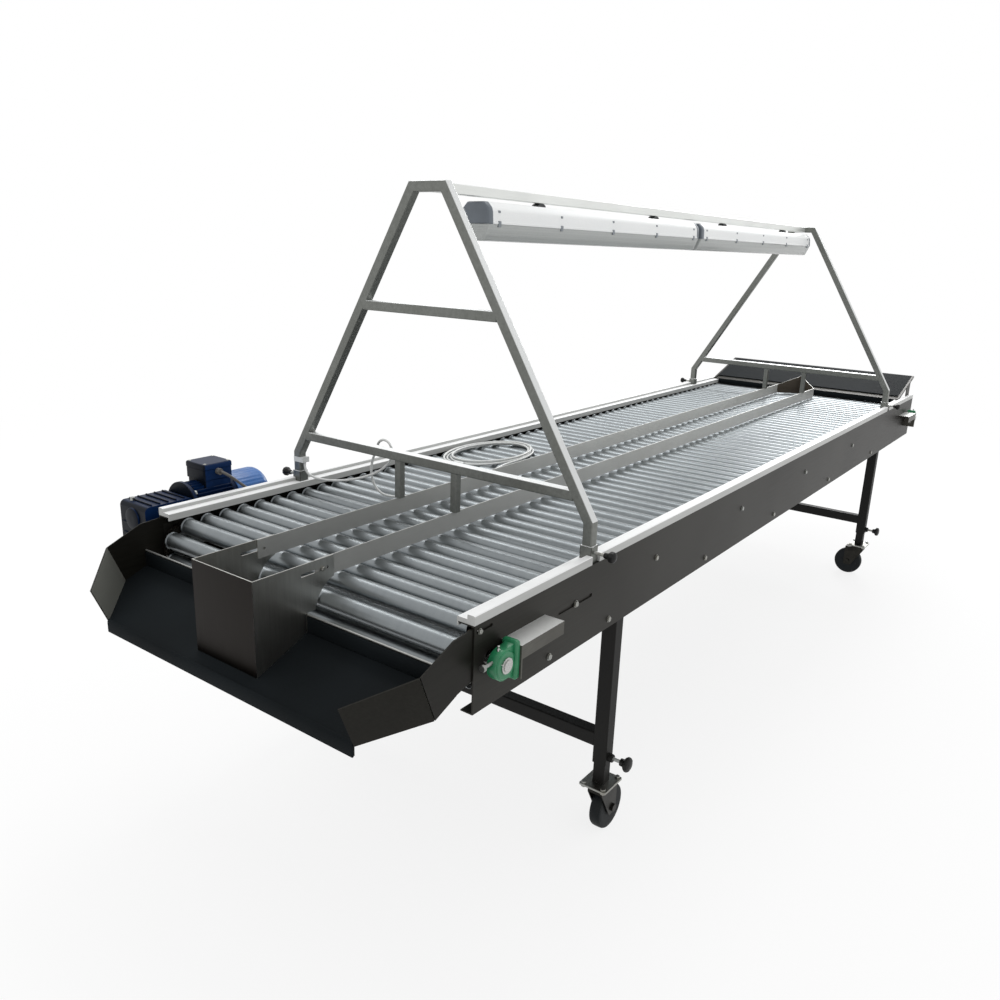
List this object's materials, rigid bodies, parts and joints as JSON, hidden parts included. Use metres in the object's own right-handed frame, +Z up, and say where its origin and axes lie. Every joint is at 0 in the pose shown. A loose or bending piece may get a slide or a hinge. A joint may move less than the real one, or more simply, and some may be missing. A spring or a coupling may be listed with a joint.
{
  "type": "vegetable sorting conveyor",
  "caption": "Roller-bed sorting conveyor on castors: chain-carried rollers, lane dividers, discharge chute, infeed board and a lamp frame over the bed.",
  "frame": {"origin": "on the floor, under the middle of the side panels' length and width", "axes": "+X along the bed from the discharge chute to the infeed board, +Y to the gearmotor's side, +Z up"},
  "size_m": [4.0364, 1.254, 1.648],
  "materials": {
    "stainless_panel": "brushed stainless sheet",
    "stainless_frame": "brushed stainless tube",
    "stainless_matte": "matte stainless sheet",
    "rail_plastic": "white sliding plastic",
    "black_paint": "black powder coat",
    "zinc": "bright zinc plate",
    "roller_steel": "polished steel tube",
    "chain_steel": "oiled steel",
    "bearing_green": "green paint on cast iron",
    "motor_blue": "blue paint on cast aluminium",
    "fan_cover_blue": "blue paint on sheet steel",
    "lamp_body": "white glass-filled plastic",
    "lamp_cap": "slate grey plastic",
    "lamp_diffuser": "ribbed clear plastic",
    "lamp_glass": "white fluorescent tube",
    "black_rubber": "black sheet rubber",
    "castor_tread": "dark elastic tread",
    "knob_plastic": "black moulded plastic",
    "white_cable": "white plastic sheath",
    "dark_cable": "dark rubber sheath",
    "gland_plastic": "grey plastic"
  },
  "bodies": {
    "frame": {"near_side_panel": "stainless_panel", "far_side_panel": "stainless_panel", "guard_rails": "rail_plastic", "cross_ties": "stainless_frame", "leg_frames": "black_paint", "front_lamp_frame": "stainless_frame", "rear_lamp_frame": "stainless_frame", "lamp_beam": "stainless_frame", "lamp_trays": "lamp_body", "lamp_end_caps": "lamp_cap", "lamp_diffusers": "lamp_diffuser", "lamp_tubes": "lamp_glass", "lamp_clips": "zinc", "lane_dividers": "stainless_matte", "discharge_box": "stainless_frame", "flow_splitter": "stainless_matte", "chute_floor": "stainless_panel", "chute_wings": "stainless_panel", "infeed_board": "stainless_frame", "rubber_linings": "black_rubber", "bearing_blocks": "bearing_green", "bearing_brackets": "zinc", "gearbox_housing": "motor_blue", "motor_housing": "motor_blue", "fan_cover": "fan_cover_blue", "cable_glands": "gland_plastic", "motor_lead": "dark_cable", "lamp_lead": "white_cable", "lamp_lead_coil": "white_cable", "lamp_plug": "white_cable", "fasteners": "zinc"},
    "upper_run": {"upper_rollers": "roller_steel", "upper_chains": "chain_steel"},
    "lower_run": {"lower_rollers": "roller_steel", "lower_chains": "chain_steel"},
    "drive_end": {"drive_shaft": "chain_steel", "drive_end_rollers": "roller_steel"},
    "tail_end": {"tail_shaft": "chain_steel", "tail_end_rollers": "roller_steel"},
    "rotor": {"motor_rotor": "chain_steel"},
    "front_near_leg": {"front_near_inner_leg": "zinc"},
    "front_near_fork": {"front_near_castor_fork": "zinc"},
    "front_near_wheel": {"front_near_castor_wheel": "castor_tread"},
    "front_near_leg_clamp": {"front_near_leg_knob": "knob_plastic"},
    "front_near_frame_clamp": {"front_near_frame_knob": "knob_plastic"},
    "front_far_leg": {"front_far_inner_leg": "zinc"},
    "front_far_fork": {"front_far_castor_fork": "zinc"},
    "front_far_wheel": {"front_far_castor_wheel": "castor_tread"},
    "front_far_leg_clamp": {"front_far_leg_knob": "knob_plastic"},
    "front_far_frame_clamp": {"front_far_frame_knob": "knob_plastic"},
    "rear_near_leg": {"rear_near_inner_leg": "zinc"},
    "rear_near_fork": {"rear_near_castor_fork": "zinc"},
    "rear_near_wheel": {"rear_near_castor_wheel": "castor_tread"},
    "rear_near_leg_clamp": {"rear_near_leg_knob": "knob_plastic"},
    "rear_near_frame_clamp": {"rear_near_frame_knob": "knob_plastic"},
    "rear_far_leg": {"rear_far_inner_leg": "zinc"},
    "rear_far_fork": {"rear_far_castor_fork": "zinc"},
    "rear_far_wheel": {"rear_far_castor_wheel": "castor_tread"},
    "rear_far_leg_clamp": {"rear_far_leg_knob": "knob_plastic"},
    "rear_far_frame_clamp": {"rear_far_frame_knob": "knob_plastic"}
  },
  "joints": [
    {"name": "upper_run_travel", "type": "slide", "parent": "frame", "child": "upper_run", "axis": [-1, 0, 0], "range_m": [0, 0.05715]},
    {"name": "lower_run_travel", "type": "slide", "parent": "frame", "child": "lower_run", "axis": [1, 0, 0], "range_m": [0, 0.05715]},
    {"name": "drive_turn", "type": "hinge", "parent": "frame", "child": "drive_end", "pos_m": [-1.812, 0, 0.72715], "axis": [0, -1, 0], "range_deg": [0, 60]},
    {"name": "tail_turn", "type": "hinge", "parent": "frame", "child": "tail_end", "pos_m": [1.78845, 0, 0.72715], "axis": [0, -1, 0], "range_deg": [0, 60]},
    {"name": "motor_spin", "type": "hinge", "parent": "frame", "child": "rotor", "pos_m": [-1.565, 0.606, 0.79015], "axis": [1, 0, 0], "range_deg": [0, 2400]},
    {"name": "front_near_leg_slide", "type": "slide", "parent": "frame", "child": "front_near_leg", "axis": [0, 0, -1], "range_m": [0, 0.12]},
    {"name": "front_near_swivel", "type": "hinge", "parent": "front_near_leg", "child": "front_near_fork", "pos_m": [-1.273, -0.495, 0.14], "axis": [0, 0, 1], "continuous": true},
    {"name": "front_near_roll", "type": "hinge", "parent": "front_near_fork", "child": "front_near_wheel", "pos_m": [-1.235, -0.495, 0.0625], "axis": [0, 1, 0], "continuous": true},
    {"name": "front_near_leg_knob_turn", "type": "hinge", "parent": "frame", "child": "front_near_leg_clamp", "pos_m": [-1.273, -0.55, 0.235], "axis": [0, -1, 0], "range_deg": [0, 720]},
    {"name": "front_near_frame_knob_turn", "type": "hinge", "parent": "frame", "child": "front_near_frame_clamp", "pos_m": [-1.4155, -0.53, 0.84], "axis": [0, -1, 0], "range_deg": [0, 720]},
    {"name": "front_far_leg_slide", "type": "slide", "parent": "frame", "child": "front_far_leg", "axis": [0, 0, -1], "range_m": [0, 0.12]},
    {"name": "front_far_swivel", "type": "hinge", "parent": "front_far_leg", "child": "front_far_fork", "pos_m": [-1.273, 0.495, 0.14], "axis": [0, 0, 1], "continuous": true},
    {"name": "front_far_roll", "type": "hinge", "parent": "front_far_fork", "child": "front_far_wheel", "pos_m": [-1.235, 0.495, 0.0625], "axis": [0, 1, 0], "continuous": true},
    {"name": "front_far_leg_knob_turn", "type": "hinge", "parent": "frame", "child": "front_far_leg_clamp", "pos_m": [-1.273, 0.55, 0.235], "axis": [0, 1, 0], "range_deg": [0, 720]},
    {"name": "front_far_frame_knob_turn", "type": "hinge", "parent": "frame", "child": "front_far_frame_clamp", "pos_m": [-1.4155, 0.53, 0.84], "axis": [0, 1, 0], "range_deg": [0, 720]},
    {"name": "rear_near_leg_slide", "type": "slide", "parent": "frame", "child": "rear_near_leg", "axis": [0, 0, -1], "range_m": [0, 0.12]},
    {"name": "rear_near_swivel", "type": "hinge", "parent": "rear_near_leg", "child": "rear_near_fork", "pos_m": [1.263, -0.495, 0.14], "axis": [0, 0, 1], "continuous": true},
    {"name": "rear_near_roll", "type": "hinge", "parent": "rear_near_fork", "child": "rear_near_wheel", "pos_m": [1.263, -0.457, 0.0625], "axis": [1, 0, 0], "continuous": true},
    {"name": "rear_near_leg_knob_turn", "type": "hinge", "parent": "frame", "child": "rear_near_leg_clamp", "pos_m": [1.263, -0.55, 0.235], "axis": [0, -1, 0], "range_deg": [0, 720]},
    {"name": "rear_near_frame_knob_turn", "type": "hinge", "parent": "frame", "child": "rear_near_frame_clamp", "pos_m": [1.337, -0.53, 0.84], "axis": [0, -1, 0], "range_deg": [0, 720]},
    {"name": "rear_far_leg_slide", "type": "slide", "parent": "frame", "child": "rear_far_leg", "axis": [0, 0, -1], "range_m": [0, 0.12]},
    {"name": "rear_far_swivel", "type": "hinge", "parent": "rear_far_leg", "child": "rear_far_fork", "pos_m": [1.263, 0.495, 0.14], "axis": [0, 0, 1], "continuous": true},
    {"name": "rear_far_roll", "type": "hinge", "parent": "rear_far_fork", "child": "rear_far_wheel", "pos_m": [1.301, 0.495, 0.0625], "axis": [0, 1, 0], "continuous": true},
    {"name": "rear_far_leg_knob_turn", "type": "hinge", "parent": "frame", "child": "rear_far_leg_clamp", "pos_m": [1.263, 0.55, 0.235], "axis": [0, 1, 0], "range_deg": [0, 720]},
    {"name": "rear_far_frame_knob_turn", "type": "hinge", "parent": "frame", "child": "rear_far_frame_clamp", "pos_m": [1.337, 0.53, 0.84], "axis": [0, 1, 0], "range_deg": [0, 720]}
  ],
  "couplings": [
    {"joint": "lower_run_travel", "follows": "upper_run_travel", "ratio": 1},
    {"joint": "drive_turn", "follows": "upper_run_travel", "rad_per_m": 18.324},
    {"joint": "tail_turn", "follows": "upper_run_travel", "rad_per_m": 18.324},
    {"joint": "motor_spin", "follows": "upper_run_travel", "rad_per_m": 732.95}
  ]
}
